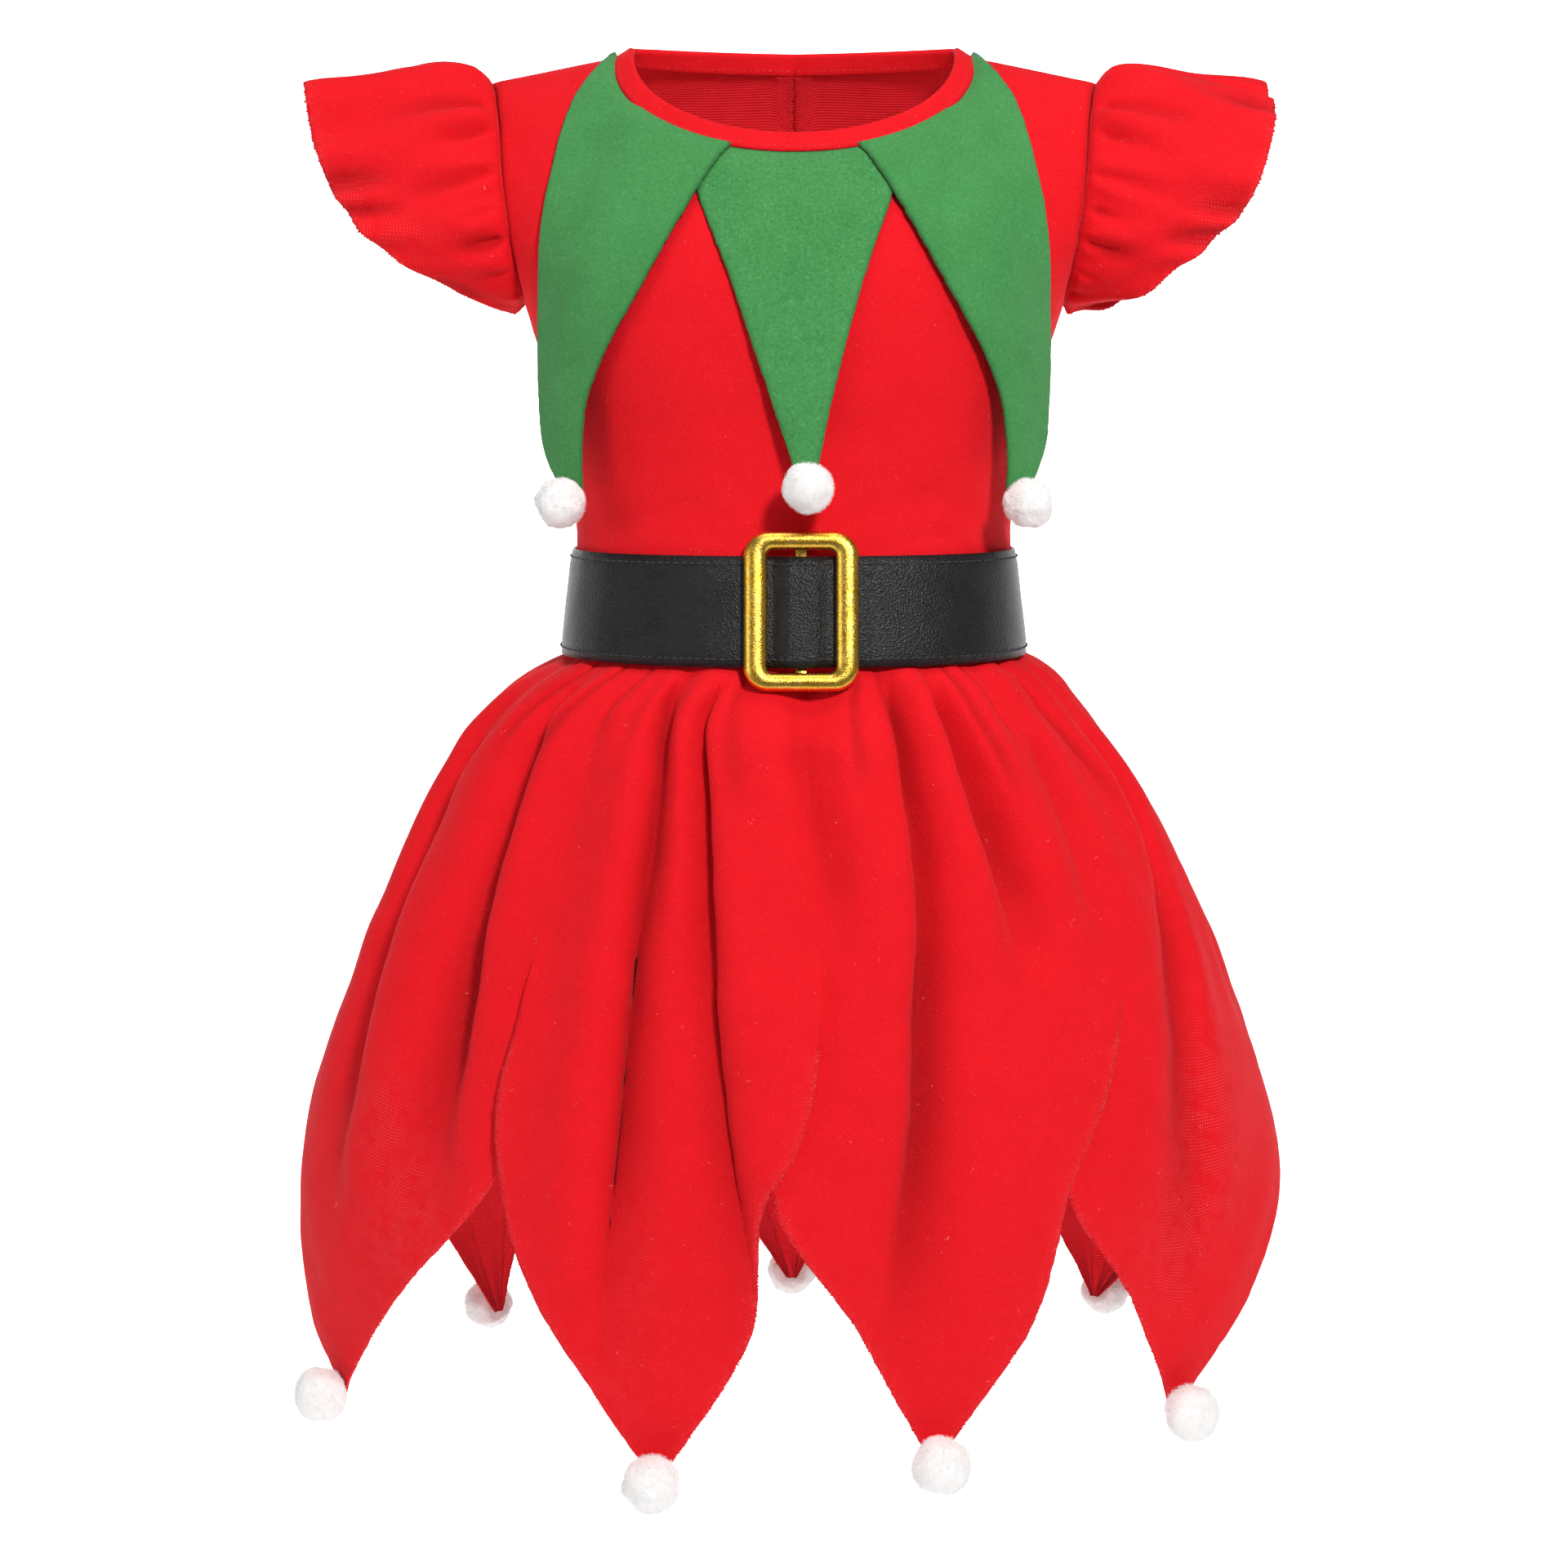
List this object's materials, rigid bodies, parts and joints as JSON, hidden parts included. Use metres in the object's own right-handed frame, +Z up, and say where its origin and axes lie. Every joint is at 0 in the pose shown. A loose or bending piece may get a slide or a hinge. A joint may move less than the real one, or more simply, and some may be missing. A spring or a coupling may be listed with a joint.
{
  "type": "elf costume dress",
  "caption": "Child's elf costume dress with flutter sleeves, pointed felt collar, belt with slide buckle and gathered petal skirt tipped with pom-poms.",
  "frame": {"origin": "midway between the shoulder seams, at the height of the shoulders, where the wearer holds the dress up", "axes": "+X to the right as seen from the front, +Y from the front towards the back, +Z up"},
  "size_m": [0.424, 0.3115, 0.5866],
  "materials": {
    "red_knit": "brushed polyester knit with a short nap",
    "green_felt": "heathered felt with cut edges",
    "black_strap": "fine-grained imitation leather, half gloss, stitched along both edges",
    "gold_buckle": "gold-coated with fine speckle and scratches",
    "white_fluff": "short clipped fibres"
  },
  "bodies": {
    "root": {"bodice_front": "red_knit", "bodice_back_left": "red_knit", "bodice_back_right": "red_knit", "neck_binding": "red_knit", "collar_left": "green_felt", "collar_centre": "green_felt", "collar_right": "green_felt", "sleeve_left": "red_knit", "sleeve_right": "red_knit", "skirt_petal_1": "red_knit", "skirt_petal_2": "red_knit", "skirt_petal_3": "red_knit", "skirt_petal_4": "red_knit", "skirt_petal_5": "red_knit", "skirt_petal_6": "red_knit", "skirt_petal_7": "red_knit", "belt_strap": "black_strap", "belt_buckle": "gold_buckle", "collar_pompom_left": "white_fluff", "collar_pompom_centre": "white_fluff", "collar_pompom_right": "white_fluff", "hem_pompom_1": "white_fluff", "hem_pompom_2": "white_fluff", "hem_pompom_3": "white_fluff", "hem_pompom_4": "white_fluff", "hem_pompom_5": "white_fluff", "hem_pompom_6": "white_fluff", "hem_pompom_7": "white_fluff"}
  },
  "joints": []
}
